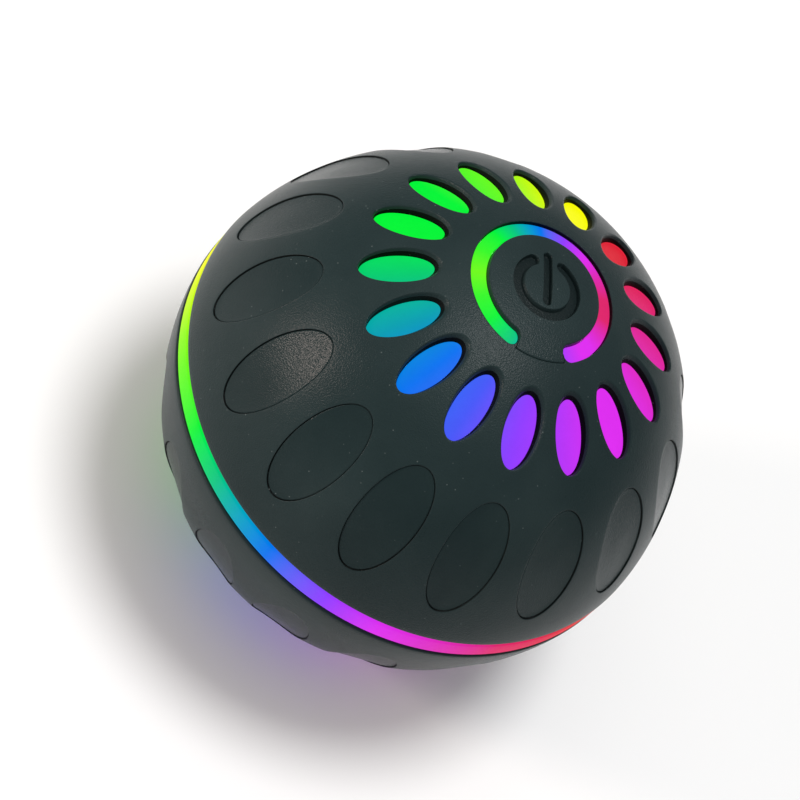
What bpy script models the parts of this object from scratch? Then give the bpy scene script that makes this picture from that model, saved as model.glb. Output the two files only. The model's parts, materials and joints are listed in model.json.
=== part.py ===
# Interactive dog ball, 65 mm: two black silicone covers over two translucent half shells,
# with a glowing ring at the equator, a power button at the top pole and a charging port at
# the bottom pole. Inside, a geared motor swings an off-centre weight round the pole axis,
# which rolls the ball along its equator. Origin at the ball's centre, +Z through the button.
import bpy
import bmesh
import math
from mathutils import Matrix, Vector

# ---------------------------------------------------------------- driving dimensions (mm)
R_BALL = 32.1          # outer radius of the covers away from the equator
R_LIP = 32.5           # outer radius of the covers at the equator: 65 mm overall
BULGE_DEG = 13.0       # how far from the equator the swelling reaches
R_COVER_IN = 30.0      # inner radius of the covers
R_SHELL = 29.7         # outer radius of the half shells
R_SHELL_IN = 27.9      # inner radius of the half shells
R_PAD = 30.85          # top of the raised window pads on the shells
RING_HALF = 1.4        # half the width of the glowing ring
R_RING = 32.4          # outer radius of the glowing ring
SEG = 32               # sides of the big turned shapes
WINDOWS = 16           # windows round each pole
WIN_COLAT = 31.75      # angle of a window's centre from the pole
WIN_A, WIN_B = 4.85, 2.38   # half length and half width of a window at the surface
WIN_LEAN = 26.0        # the window walls lean this far from radial towards the pole axis
PAD_A, PAD_B = 4.05, 1.85   # half length and half width of a window pad
DIMPLE_COLAT = 63.0    # angle of a recess's centre from the pole
DIMPLE_A, DIMPLE_B = 8.1, 3.8
DIMPLE_DEPTH = 0.35
R_BUTTON_HOLE = 9.75   # round hole in each cover at its pole
R_BUTTON = 7.1         # button disc inside the glowing arc
R_TAB = 9.4            # the button reaches this far where the arc is open
R_ARC_IN, R_ARC_OUT, R_ARC_TOP = 7.4, 9.45, 31.6
ARC_OPEN = 24.0        # half the angle that the arc leaves open, towards -Y
BUTTON_TRAVEL = 0.6
R_BOSS_CIRCLE, R_BOSS = 23.6, 2.9
R_FRAME = 26.6
MODULE = 0.5
T_MOTOR, T_BIG, T_SMALL, T_OUT = 10, 40, 10, 44
COMPOUND_XY = (13.55, 0.0)
MOTOR_XY = (6.5, -10.4)
LED_BOARD_Z = 20.6
MAIN_BOARD_Z = 12.0
CHARGE_BOARD_Z = -19.1
MM = 0.001

for old in list(bpy.data.objects):
    bpy.data.objects.remove(old, do_unlink=True)
scene = bpy.context.scene
parts = bpy.data.collections.new("interactive_dog_ball")
cutters = bpy.data.collections.new("cutters")
scene.collection.children.link(parts)
scene.collection.children.link(cutters)


def material(name, colour, roughness, metallic=0.0, glow=None):
    mat = bpy.data.materials.new(name)
    mat.use_nodes = True
    shader = mat.node_tree.nodes["Principled BSDF"]
    shader.inputs["Base Color"].default_value = (*colour, 1.0)
    shader.inputs["Roughness"].default_value = roughness
    shader.inputs["Metallic"].default_value = metallic
    if glow:
        shader.inputs["Emission Color"].default_value = (*glow, 1.0)
        shader.inputs["Emission Strength"].default_value = 1.0
    return mat


SILICONE = material("black_silicone", (0.035, 0.04, 0.042), 0.55)
LENS = material("translucent_plastic", (0.75, 0.8, 0.78), 0.35, glow=(0.1, 0.9, 0.3))
CHASSIS = material("white_plastic", (0.75, 0.75, 0.72), 0.5)
GEAR = material("natural_plastic", (0.85, 0.82, 0.72), 0.4)
STEEL = material("steel", (0.6, 0.6, 0.62), 0.3, 1.0)
WEIGHT = material("zinc_weight", (0.45, 0.45, 0.46), 0.45, 1.0)
BRASS = material("brass", (0.7, 0.5, 0.2), 0.3, 1.0)
BOARD = material("circuit_board", (0.02, 0.16, 0.07), 0.45)
CHIP = material("chip_black", (0.02, 0.02, 0.022), 0.4)
LED = material("led_white", (0.9, 0.9, 0.82), 0.3)
CELL = material("battery_foil", (0.6, 0.62, 0.65), 0.35, 0.6)
FOAM = material("foam_tape", (0.1, 0.1, 0.1), 0.9)
RED = material("red_wire", (0.6, 0.02, 0.02), 0.4)
BLACK = material("black_wire", (0.02, 0.02, 0.02), 0.4)


# ---------------------------------------------------------------- shape helpers, in mm
def put(name, mesh, mat, where=parts):
    obj = bpy.data.objects.new(name, mesh)
    where.objects.link(obj)
    if mat:
        mesh.materials.append(mat)
    if where == cutters:
        obj.hide_render = True
        obj.display_type = "WIRE"
    return obj


def from_bm(name, bm, mat, where=parts):
    mesh = bpy.data.meshes.new(name)
    bm.to_mesh(mesh)
    bm.free()
    return put(name, mesh, mat, where)


def rod(bm, r, z0, z1, x=0.0, y=0.0, n=12, turn=0.0, top=None, frame=None, flat=(1.0, 1.0)):
    """A cylinder, or a cone if top is given, along Z from z0 up to z1."""
    place = Matrix.Translation(Vector((x, y, (z0 + z1) / 2)) * MM)
    place = place @ Matrix.Diagonal((*flat, 1, 1)) @ Matrix.Rotation(math.radians(turn), 4, "Z")
    bmesh.ops.create_cone(bm, cap_ends=True, cap_tris=False, segments=n, radius1=r * MM,
                          radius2=(r if top is None else top) * MM, depth=(z1 - z0) * MM,
                          matrix=(frame @ place) if frame else place)


def slab(bm, x0, x1, y0, y1, z0, z1, turn=0.0):
    """A box. With turn it is turned about the Z axis of the ball."""
    place = Matrix.Translation(Vector(((x0 + x1) / 2, (y0 + y1) / 2, (z0 + z1) / 2)) * MM)
    place = Matrix.Rotation(math.radians(turn), 4, "Z") @ place
    bmesh.ops.create_cube(bm, size=1.0, matrix=place @ Matrix.Diagonal(
        ((x1 - x0) * MM, (y1 - y0) * MM, (z1 - z0) * MM, 1)))


def turned(name, profile, mat, closed=False, steps=12, where=parts):
    """A profile of (radius, height) points, running down its outer side, turned about Z."""
    mesh = bpy.data.meshes.new(name)
    start = math.pi / SEG
    points = [(r * MM * math.cos(start), r * MM * math.sin(start), z * MM) for r, z in profile]
    edges = [(i, i + 1) for i in range(len(points) - 1)]
    if closed:
        edges.append((len(points) - 1, 0))
    mesh.from_pydata(points, edges, [])
    obj = put(name, mesh, mat, where)
    screw = obj.modifiers.new("turn", "SCREW")
    screw.axis = "Z"
    screw.angle = 2 * math.pi
    screw.steps = screw.render_steps = steps
    screw.use_merge_vertices = True
    screw.merge_threshold = 0.00001
    return obj


def boolean(obj, other, operation):
    mod = obj.modifiers.new(operation.lower(), "BOOLEAN")
    mod.operation = operation
    mod.object = other
    mod.solver = "EXACT"
    return obj


def outline(name, loops, z0, z1, mat):
    """A flat plate with the given outline, and holes if more loops follow."""
    curve = bpy.data.curves.new(name, "CURVE")
    curve.dimensions = "2D"
    curve.fill_mode = "BOTH"
    curve.extrude = (z1 - z0) / 2 * MM
    for loop in loops:
        spline = curve.splines.new("POLY")
        spline.points.add(len(loop) - 1)
        for p, (x, y) in zip(spline.points, loop):
            p.co = (x * MM, y * MM, 0.0, 1.0)
        spline.use_cyclic_u = True
    curve.materials.append(mat)
    obj = bpy.data.objects.new(name, curve)
    obj.location = (0, 0, (z0 + z1) / 2 * MM)
    parts.objects.link(obj)
    return obj


def as_mesh(obj, where=parts):
    """The same shape as a mesh with welded caps, so that it can be cut or joined."""
    bpy.context.view_layer.update()
    graph = bpy.context.evaluated_depsgraph_get()
    mesh = bpy.data.meshes.new_from_object(obj.evaluated_get(graph))
    place, name = obj.matrix_world.copy(), obj.name
    bpy.data.objects.remove(obj, do_unlink=True)
    bm = bmesh.new()
    bm.from_mesh(mesh)
    bmesh.ops.remove_doubles(bm, verts=bm.verts, dist=0.000001)
    bmesh.ops.recalc_face_normals(bm, faces=bm.faces)
    bm.to_mesh(mesh)
    bm.free()
    made = put(name, mesh, None, where)
    made.name = name
    made.matrix_world = place
    return made


def wire(name, points, r, mat, per_span=3):
    """A round wire through the given points, on one smooth curve."""
    pts = [Vector(p) for p in points]
    line = []
    for i in range(len(pts) - 1):
        before, after = pts[max(i - 1, 0)], pts[min(i + 2, len(pts) - 1)]
        a, b = pts[i], pts[i + 1]
        for k in range(per_span):
            t = k / per_span
            line.append(0.5 * ((2 * a) + (b - before) * t + (2 * before - 5 * a + 4 * b - after) * t * t
                               + (3 * a - before - 3 * b + after) * t ** 3))
    line.append(pts[-1])
    curve = bpy.data.curves.new(name, "CURVE")
    curve.dimensions = "3D"
    curve.fill_mode = "FULL"
    curve.bevel_depth = r * MM
    curve.bevel_resolution = 1
    curve.use_fill_caps = True
    spline = curve.splines.new("POLY")
    spline.points.add(len(line) - 1)
    for p, c in zip(spline.points, line):
        p.co = (*(c * MM), 1.0)
    curve.materials.append(mat)
    obj = bpy.data.objects.new(name, curve)
    parts.objects.link(obj)
    return obj


def ring_points(r, n, cx=0.0, cy=0.0, turn=0.0):
    return [(cx + r * math.cos(math.radians(turn) + 2 * math.pi * i / n),
             cy + r * math.sin(math.radians(turn) + 2 * math.pi * i / n)) for i in range(n)]


def screw(name, x, y, seat, up, length, r=0.85, head_r=1.65, head_h=1.1):
    """A pan-head screw whose head sits under the seat and whose shank runs the other way."""
    d = 1 if up else -1
    bm = bmesh.new()
    lo, hi = sorted((seat, seat - d * head_h))
    rod(bm, head_r, lo, hi, n=10, top=head_r * (1.0 if up else 0.8))
    head = from_bm(name, bm, STEEL)
    bm = bmesh.new()
    lo, hi = sorted((seat - d * head_h * 0.5, seat + d * length))
    rod(bm, r, lo, hi, n=8)
    shank = from_bm(name + "_shank", bm, None, cutters)
    boolean(head, shank, "UNION")
    head.location = (x * MM, y * MM, 0)
    shank.location = (x * MM, y * MM, 0)
    return head


def surface_radius(colat):
    """Outer radius of a cover at this angle from the pole: it swells towards the equator."""
    lat = 90.0 - colat
    return R_BALL + (R_LIP - R_BALL) * math.exp(-((lat / BULGE_DEG) ** 2))


def arc_profile(radius_at, first, last, n):
    """Points down a meridian from one angle to another. A zero radius angle is the axis."""
    out = []
    for i in range(n + 1):
        c = first + (last - first) * i / n
        r = radius_at(c)
        out.append((r * math.sin(math.radians(c)), r * math.cos(math.radians(c))))
    return out


def pole_up(obj, upper):
    """A lower half is the upper one turned over about X."""
    obj.rotation_euler = (0.0 if upper else math.pi, 0.0, 0.0)
    return obj


def window_frame(k, colat, lean):
    """Local axes on a meridian: X along the meridian away from the pole, Z outwards."""
    az = math.radians(-90.0 + 360.0 / WINDOWS * k)
    c, n = math.radians(colat), math.radians(colat - lean)
    centre = Vector((math.sin(c) * math.cos(az), math.sin(c) * math.sin(az), math.cos(c)))
    out = Vector((math.sin(n) * math.cos(az), math.sin(n) * math.sin(az), math.cos(n)))
    along = Vector((math.cos(n) * math.cos(az), math.cos(n) * math.sin(az), -math.sin(n)))
    side = out.cross(along)
    m = Matrix((along, side, out)).transposed().to_4x4()
    return centre, out, m


def ellipse_rods(name, colat, lean, a, b, low, high, n=10, square=False):
    """Sixteen elliptical rods, one on each meridian, reaching from low to high radius.
    If square, their ends are square to the radius while their sides still lean."""
    bm = bmesh.new()
    for k in range(WINDOWS):
        centre, out, m = window_frame(k, colat, lean)
        if square:
            m = window_frame(k, colat, 0.0)[2]
            slope = math.tan(math.radians(lean))
            m = m @ Matrix(((1, 0, -slope, 0), (0, 1, 0, 0), (0, 0, 1, 0), (0, 0, 0, 1)))
        foot = centre * R_BALL
        frame = Matrix.Translation(foot * MM) @ m
        rod(bm, 1.0, low - R_BALL, high - R_BALL, n=n, turn=180.0 / n, frame=frame, flat=(a, b))
    return from_bm(name, bm, None, cutters)


def ball(name, r, n=14, where=cutters):
    """A turned sphere whose facets line up with those of the shells."""
    prof = arc_profile(lambda c: r, 0.0, 180.0, n)
    prof[0], prof[-1] = (0.0, r), (0.0, -r)
    return turned(name, prof, None, steps=SEG, where=where)


# ---------------------------------------------------------------- covers
def cover(name, upper):
    top = math.degrees(math.asin(R_BUTTON_HOLE / R_BALL))
    edge = 90.0 - math.degrees(math.asin((RING_HALF + 0.3) / R_LIP))
    outer = arc_profile(surface_radius, top, edge, 8)
    top_in = math.degrees(math.asin(R_BUTTON_HOLE / R_COVER_IN))
    edge_in = 90.0 - math.degrees(math.asin((RING_HALF + 0.3) / R_COVER_IN))
    inner = arc_profile(lambda c: R_COVER_IN, edge_in, top_in, 6)
    obj = pole_up(turned(name, outer + inner, SILICONE, closed=True, steps=SEG), upper)
    holes = pole_up(ellipse_rods(name + "_window_cutter", WIN_COLAT, WIN_LEAN, WIN_A, WIN_B, 27.0, 36.0,
                                square=True), upper)
    boolean(obj, holes, "DIFFERENCE")
    # each recess leaves a floor that follows the cover, a little below its surface
    prof = arc_profile(lambda c: surface_radius(c) - DIMPLE_DEPTH, top, edge, 8)
    prof = [(0.0, prof[0][1])] + prof + [(0.0, prof[-1][1])]
    core = pole_up(turned(name + "_recess_floor", prof, None, steps=SEG, where=cutters), upper)
    recess = pole_up(ellipse_rods(name + "_recess_cutter", DIMPLE_COLAT, 0.0, DIMPLE_A, DIMPLE_B, 29.0, 35.0), upper)
    boolean(recess, core, "DIFFERENCE")
    boolean(obj, recess, "DIFFERENCE")
    return obj


cover("upper_cover", True)
cover("lower_cover", False)

# the glowing ring: a band that shows between the covers, on a web held between the shells
turned("light_ring", [(30.2, RING_HALF), (R_RING - 0.25, RING_HALF), (R_RING, RING_HALF - 0.3),
                      (R_RING, -RING_HALF + 0.3), (R_RING - 0.25, -RING_HALF), (30.2, -RING_HALF),
                      (30.2, -0.6), (26.9, -0.6), (26.9, 0.6), (30.2, 0.6)],
       LENS, closed=True, steps=SEG)


# ---------------------------------------------------------------- half shells
def half_shell(name, upper, pole_hole):
    edge = 90.0 - math.degrees(math.asin(0.9 / R_SHELL))
    edge_in = 90.0 - math.degrees(math.asin(0.9 / R_SHELL_IN))
    top = math.degrees(math.asin(pole_hole / R_SHELL))
    top_in = math.degrees(math.asin(pole_hole / R_SHELL_IN))
    outer = arc_profile(lambda c: R_SHELL, top, edge, 7)
    inner = arc_profile(lambda c: R_SHELL_IN, edge_in, top_in, 6)
    obj = pole_up(turned(name, outer + inner, LENS, closed=True, steps=SEG), upper)
    pads = pole_up(ellipse_rods(name + "_pads", WIN_COLAT, WIN_LEAN, PAD_A, PAD_B, 28.5, R_PAD, n=8, square=True), upper)
    boolean(obj, pads, "UNION")
    return obj


upper_shell = half_shell("upper_shell", True, 2.9)
bm = bmesh.new()
for k in range(4):
    a = math.radians(45 + 90 * k)
    rod(bm, R_BOSS, 1.1, 10.8, R_BOSS_CIRCLE * math.cos(a), R_BOSS_CIRCLE * math.sin(a), n=12, turn=45 + 90 * k)
LED_SCREWS = [(12.3 * math.cos(math.radians(a)), 12.3 * math.sin(math.radians(a))) for a in (30, 150, 270)]
for x, y in LED_SCREWS:
    rod(bm, 2.0, LED_BOARD_Z + 1.3, 28.0, x, y, n=10)
bosses = from_bm("upper_shell_bosses", bm, None, cutters)
boolean(bosses, ball("upper_shell_boss_trim", 28.8), "INTERSECT")
boolean(upper_shell, bosses, "UNION")
bm = bmesh.new()
for k in range(4):
    a = math.radians(45 + 90 * k)
    rod(bm, 1.15, 0.0, 9.0, R_BOSS_CIRCLE * math.cos(a), R_BOSS_CIRCLE * math.sin(a), n=8)
for x, y in LED_SCREWS:
    rod(bm, 0.95, LED_BOARD_Z, 25.2, x, y, n=8)
boolean(upper_shell, from_bm("upper_shell_holes", bm, None, cutters), "DIFFERENCE")

lower_shell = half_shell("lower_shell", False, 7.4)
CHARGE_SCREWS = [(0.0, 10.8), (0.0, -10.8)]
bm = bmesh.new()
for k in range(4):
    a = math.radians(45 + 90 * k)
    rod(bm, R_BOSS, -22.0, -1.1, R_BOSS_CIRCLE * math.cos(a), R_BOSS_CIRCLE * math.sin(a), n=12, turn=45 + 90 * k)
for x, y in CHARGE_SCREWS:
    rod(bm, 1.9, -27.5, CHARGE_BOARD_Z - 0.2, x, y, n=10)
lower_bosses = from_bm("lower_shell_bosses", bm, None, cutters)
boolean(lower_bosses, ball("lower_shell_boss_trim", 28.8), "INTERSECT")
boolean(lower_shell, lower_bosses, "UNION")
# the well round the charging socket
well = turned("lower_shell_well", [(8.6, CHARGE_BOARD_Z - 0.2), (8.6, -27.9), (7.4, -28.3), (7.4, CHARGE_BOARD_Z - 0.2)],
              None, closed=True, steps=SEG, where=cutters)
boolean(lower_shell, well, "UNION")
bm = bmesh.new()
for k in range(4):
    a = math.radians(45 + 90 * k)
    x, y = R_BOSS_CIRCLE * math.cos(a), R_BOSS_CIRCLE * math.sin(a)
    rod(bm, 1.95, -24.0, -5.0, x, y, n=10)
for x, y in CHARGE_SCREWS:
    rod(bm, 0.95, -23.5, CHARGE_BOARD_Z + 1.0, x, y, n=8)
boolean(lower_shell, from_bm("lower_shell_counterbores", bm, None, cutters), "DIFFERENCE")
bm = bmesh.new()
for k in range(4):
    a = math.radians(45 + 90 * k)
    rod(bm, 1.15, -6.0, 0.0, R_BOSS_CIRCLE * math.cos(a), R_BOSS_CIRCLE * math.sin(a), n=8)
boolean(lower_shell, from_bm("lower_shell_screw_holes", bm, None, cutters), "DIFFERENCE")

for k in range(4):
    a = math.radians(45 + 90 * k)
    screw(f"shell_screw_{k + 1}", R_BOSS_CIRCLE * math.cos(a), R_BOSS_CIRCLE * math.sin(a), -5.2, True, 13.0)

# ---------------------------------------------------------------- power button and glowing arc
R_BUTTON_IN = 30.5


def cap_solid(name, r_edge, r_out, r_in, mat, steps, n=3, where=parts):
    """A disc cut from a spherical shell round the pole."""
    a0, a1 = math.degrees(math.asin(r_edge / r_out)), math.degrees(math.asin(r_edge / r_in))
    outer = arc_profile(lambda c: r_out, 0.0, a0, n)
    inner = arc_profile(lambda c: r_in, a1, 0.0, n)
    outer[0], inner[-1] = (0.0, r_out), (0.0, r_in)
    return turned(name, outer + inner, mat, steps=steps, where=where)


button = cap_solid("power_button", R_TAB, R_BALL, R_BUTTON_IN, SILICONE, SEG)
# the notch that the arc stands in: a ring sector, open for ARC_OPEN each side of -Y
notch = []
for i in range(25):
    a = math.radians(-90 + ARC_OPEN - 2 + (360 - 2 * ARC_OPEN + 4) * i / 24)
    notch.append((11.0 * math.cos(a), 11.0 * math.sin(a)))
for i in range(25):
    a = math.radians(-90 + ARC_OPEN - 2 + (360 - 2 * ARC_OPEN + 4) * (24 - i) / 24)
    notch.append((R_BUTTON * math.cos(a), R_BUTTON * math.sin(a)))
notch_cutter = as_mesh(outline("button_notch", [notch], 25.0, 36.0, None), cutters)
boolean(button, notch_cutter, "DIFFERENCE")
# the power sign, engraved in the button: an open circle and a bar
sign = []
for i in range(15):
    a = math.radians(90 + 34 + (360 - 68) * i / 14)
    sign.append((4.5 * math.cos(a), 4.5 * math.sin(a)))
for i in range(15):
    a = math.radians(90 + 34 + (360 - 68) * (14 - i) / 14)
    sign.append((3.3 * math.cos(a), 3.3 * math.sin(a)))
boolean(button, as_mesh(outline("sign_circle", [sign], 31.3, 34.0, None), cutters), "DIFFERENCE")
bm = bmesh.new()
slab(bm, -0.5, 0.5, -2.5, 4.9, 31.5, 34.0)
boolean(button, from_bm("sign_bar", bm, None, cutters), "DIFFERENCE")

bm = bmesh.new()
rod(bm, 2.4, 27.1, 30.3, n=12)
from_bm("button_stem", bm, CHASSIS)

arc = []
for i in range(25):
    a = math.radians(-90 + ARC_OPEN + (360 - 2 * ARC_OPEN) * i / 24)
    arc.append((R_ARC_OUT * math.cos(a), R_ARC_OUT * math.sin(a)))
for i in range(25):
    a = math.radians(-90 + ARC_OPEN + (360 - 2 * ARC_OPEN) * (24 - i) / 24)
    arc.append((R_ARC_IN * math.cos(a), R_ARC_IN * math.sin(a)))
light_arc = as_mesh(outline("button_light_arc", [arc], 27.0, 34.0, LENS))
arc_shell = cap_solid("light_arc_trim", 11.0, R_ARC_TOP, 29.95, None, SEG, n=4, where=cutters)
boolean(light_arc, arc_shell, "INTERSECT")

# ---------------------------------------------------------------- charging port cap
port_cap = cap_solid("port_cap", R_TAB, R_BALL, R_BUTTON_IN, SILICONE, SEG)
port_cap.rotation_euler = (math.pi, 0, 0)
# a fingernail groove in the cap's free edge
bm = bmesh.new()
rod(bm, 1.6, -34.0, -31.0, 0.0, -9.9, n=10)
boolean(port_cap, from_bm("cap_nail_groove", bm, None, cutters), "DIFFERENCE")

# ---------------------------------------------------------------- frame at the equator
bm = bmesh.new()
rod(bm, R_FRAME, -0.8, 0.8, n=SEG)
main_frame = from_bm("main_frame", bm, CHASSIS)
MAIN_POSTS = [(-19.8, 0.0), (-4.0, 18.3), (-4.0, -18.3)]
COVER_POSTS = [(5.5, 14.2), (1.5, -14.0), (-14.2, 0.0)]
bm = bmesh.new()
for x, y in MAIN_POSTS:
    rod(bm, 1.8, 0.0, MAIN_BOARD_Z - 0.2, x, y, n=10)
for x, y in COVER_POSTS:
    rod(bm, 2.0, -7.2, 0.0, x, y, n=10)
rod(bm, 4.6, 0.0, 1.5, n=16)
slab(bm, 5.2, 12.8, -4.9, -3.9, 0.0, 5.0)
slab(bm, -13.2, -6.0, 13.4, 14.6, 0.0, 5.0)
slab(bm, -13.2, -11.2, -14.6, -13.4, 0.0, 5.0)
boolean(main_frame, from_bm("frame_posts", bm, None, cutters), "UNION")
bm = bmesh.new()
rod(bm, 3.5, -3.0, 3.0, n=16)
rod(bm, 2.4, -3.0, 3.0, *MOTOR_XY, n=12)
rod(bm, 1.2, -3.0, 3.0, *COMPOUND_XY, n=8)
for k in range(4):
    a = math.radians(45 + 90 * k)
    rod(bm, 1.3, -3.0, 3.0, R_BOSS_CIRCLE * math.cos(a), R_BOSS_CIRCLE * math.sin(a), n=8)
for x, y in MAIN_POSTS:
    rod(bm, 0.95, 6.0, 14.0, x, y, n=8)
for x, y in COVER_POSTS:
    rod(bm, 1.1, -9.0, -2.0, x, y, n=8)
slab(bm, 23.8, 28.0, -1.6, 1.6, -3.0, 3.0, turn=165)
boolean(main_frame, from_bm("frame_holes", bm, None, cutters), "DIFFERENCE")


# ---------------------------------------------------------------- gears
def gear_loop(teeth, cx, cy, first_tooth):
    """Tooth outline, in degrees from +X to the middle of the first tooth. Flanks follow an
    involute from base to tip, thinned a little for backlash."""
    rp = MODULE * teeth / 2
    rb, ra, rf = rp * math.cos(math.radians(20)), rp + MODULE * 0.95, rp - MODULE * 1.25
    inv = lambda t: math.tan(t) - t
    at_pitch = math.pi / (2 * teeth) - 0.07 / rp
    half = lambda r: at_pitch + inv(math.radians(20)) - inv(math.acos(min(1.0, rb / r)))
    foot = half(max(rb, rf))
    loop = []
    for i in range(teeth):
        mid = math.radians(first_tooth) + 2 * math.pi * i / teeth
        for r, h in ((rf, -foot), (ra, -half(ra)), (ra, half(ra)), (rf, foot)):
            loop.append((cx + r * math.cos(mid + h), cy + r * math.sin(mid + h)))
    return loop


toward_motor = math.degrees(math.atan2(MOTOR_XY[1] - COMPOUND_XY[1], MOTOR_XY[0] - COMPOUND_XY[0]))
outline("output_gear", [gear_loop(T_OUT, 0, 0, 0.0), ring_points(2.3, 12)], -6.6, -4.0, GEAR)
outline("motor_pinion", [gear_loop(T_MOTOR, *MOTOR_XY, toward_motor + 180 + 180 / T_MOTOR),
                         ring_points(0.8, 8, *MOTOR_XY)], -3.7, -1.3, BRASS)
big = as_mesh(outline("compound_gear", [gear_loop(T_BIG, *COMPOUND_XY, toward_motor),
                                        ring_points(1.2, 8, *COMPOUND_XY)], -3.4, -1.4, GEAR))
small = as_mesh(outline("compound_small", [gear_loop(T_SMALL, *COMPOUND_XY, 180 + 180 / T_SMALL),
                                           ring_points(1.2, 8, *COMPOUND_XY)], -6.8, -3.0, GEAR), cutters)
boolean(big, small, "UNION")

bm = bmesh.new()
rod(bm, 0.85, -8.6, 0.4, *COMPOUND_XY, n=10)
from_bm("gear_pin", bm, STEEL)

bm = bmesh.new()
rod(bm, 16.8, -9.4, -7.4, 5.5, 0.0, n=24)
gear_cover = from_bm("gear_cover", bm, CHASSIS)
bm = bmesh.new()
rod(bm, 5.5, -9.4, -7.4, -12.2, 0.0, n=14)
boolean(gear_cover, from_bm("gear_cover_ear", bm, None, cutters), "UNION")
bm = bmesh.new()
rod(bm, 3.5, -11.0, -6.0, n=16)
rod(bm, 1.2, -8.8, -6.0, *COMPOUND_XY, n=8)
for x, y in COVER_POSTS:
    rod(bm, 1.8, -11.0, -8.0, x, y, n=10)
boolean(gear_cover, from_bm("gear_cover_holes", bm, None, cutters), "DIFFERENCE")
bm = bmesh.new()
for x, y in COVER_POSTS:
    rod(bm, 1.1, -8.5, -6.0, x, y, n=8)
boolean(gear_cover, from_bm("gear_cover_screw_holes", bm, None, cutters), "DIFFERENCE")
for i, (x, y) in enumerate(COVER_POSTS):
    screw(f"gear_cover_screw_{i + 1}", x, y, -8.2, True, 5.6, r=0.8, head_r=1.5, head_h=1.0)

for name, z0, z1 in (("upper_bush", -0.6, 1.3), ("lower_bush", -9.3, -7.6)):
    turned(name, [(3.2, z1), (3.2, z0), (2.3, z0), (2.3, z1)], BRASS, closed=True, steps=16)
bm = bmesh.new()
rod(bm, 2.0, -17.0, 1.3, n=12)
from_bm("output_shaft", bm, STEEL)

# the off-centre weight: a half disc towards -Y, on a round hub
weight = turned("roll_weight", [(2.3, -10.0), (19.6, -10.0), (20.0, -10.4), (20.0, -14.0), (17.5, -16.4), (2.3, -16.4)],
                WEIGHT, closed=True, steps=SEG)
bm = bmesh.new()
slab(bm, -24.0, 24.0, 0.0, 24.0, -20.0, -8.0)
back = from_bm("weight_half_cutter", bm, None, cutters)
bm = bmesh.new()
rod(bm, 4.6, -22.0, -6.0, n=16)
boolean(back, from_bm("weight_hub_keep", bm, None, cutters), "DIFFERENCE")
boolean(weight, back, "DIFFERENCE")

# ---------------------------------------------------------------- motor
bm = bmesh.new()
slab(bm, MOTOR_XY[0] - 6, MOTOR_XY[0] + 6, MOTOR_XY[1] - 5, MOTOR_XY[1] + 5, 1.1, 16.1)
bmesh.ops.bevel(bm, geom=[e for e in bm.edges if abs(e.verts[0].co.x - e.verts[1].co.x) < 1e-6
                          and abs(e.verts[0].co.y - e.verts[1].co.y) < 1e-6],
                offset=0.0028, segments=3, profile=0.5, affect="EDGES")
motor = from_bm("motor_can", bm, STEEL)
bm = bmesh.new()
rod(bm, 2.0, -0.3, 2.0, *MOTOR_XY, n=12)
boolean(motor, from_bm("motor_boss", bm, None, cutters), "UNION")
bm = bmesh.new()
rod(bm, 0.85, -2.0, 6.0, *MOTOR_XY, n=8)
boolean(motor, from_bm("motor_bore", bm, None, cutters), "DIFFERENCE")
bm = bmesh.new()
rod(bm, 0.5, -3.9, 5.5, *MOTOR_XY, n=8)
from_bm("motor_shaft", bm, STEEL)

# ---------------------------------------------------------------- battery
bm = bmesh.new()
slab(bm, -17.5, -1.5, -13.0, 13.0, 1.9, 9.9)
bmesh.ops.bevel(bm, geom=bm.edges[:], offset=0.0009, segments=1, profile=0.5, affect="EDGES")
from_bm("battery", bm, CELL)
bm = bmesh.new()
slab(bm, -16.0, -6.0, -10.0, 10.0, 1.05, 1.65)
from_bm("battery_tape", bm, FOAM)


# ---------------------------------------------------------------- boards
def disc_board(name, r, z0, z1, holes, n=28, cut_x=None):
    bm = bmesh.new()
    rod(bm, r, z0, z1, n=n)
    obj = from_bm(name, bm, BOARD)
    bm = bmesh.new()
    for x, y, hr in holes:
        rod(bm, hr, z0 - 2, z1 + 2, x, y, n=8)
    if cut_x is not None:
        slab(bm, cut_x, 60.0, -60.0, 60.0, z0 - 2, z1 + 2)
    boolean(obj, from_bm(name + "_cutter", bm, None, cutters), "DIFFERENCE")
    return obj


disc_board("led_board", 15.0, LED_BOARD_Z, LED_BOARD_Z + 1.0, [(x, y, 1.2) for x, y in LED_SCREWS])
for i, (x, y) in enumerate(LED_SCREWS):
    screw(f"led_board_screw_{i + 1}", x, y, LED_BOARD_Z - 0.2, True, 4.2, r=0.7, head_r=1.5, head_h=0.9)
for i, a in enumerate((0, 90, 180, 270)):
    bm = bmesh.new()
    r = 10.4 if a != 270 else 7.6
    x, y = r * math.cos(math.radians(a)), r * math.sin(math.radians(a))
    slab(bm, x - 1.75, x + 1.75, y - 1.75, y + 1.75, LED_BOARD_Z + 1.2, LED_BOARD_Z + 2.8)
    from_bm(f"led_{i + 1}", bm, LED)

bm = bmesh.new()
slab(bm, -3.0, 3.0, -3.0, 3.0, LED_BOARD_Z + 1.2, LED_BOARD_Z + 4.7)
switch = from_bm("power_switch", bm, CHIP)
bm = bmesh.new()
rod(bm, 1.9, LED_BOARD_Z + 2.2, LED_BOARD_Z + 6.0, n=10)
boolean(switch, from_bm("switch_hole", bm, None, cutters), "DIFFERENCE")
bm = bmesh.new()
rod(bm, 1.55, LED_BOARD_Z + 3.1, 26.8, n=10)
from_bm("switch_plunger", bm, CHASSIS)

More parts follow.
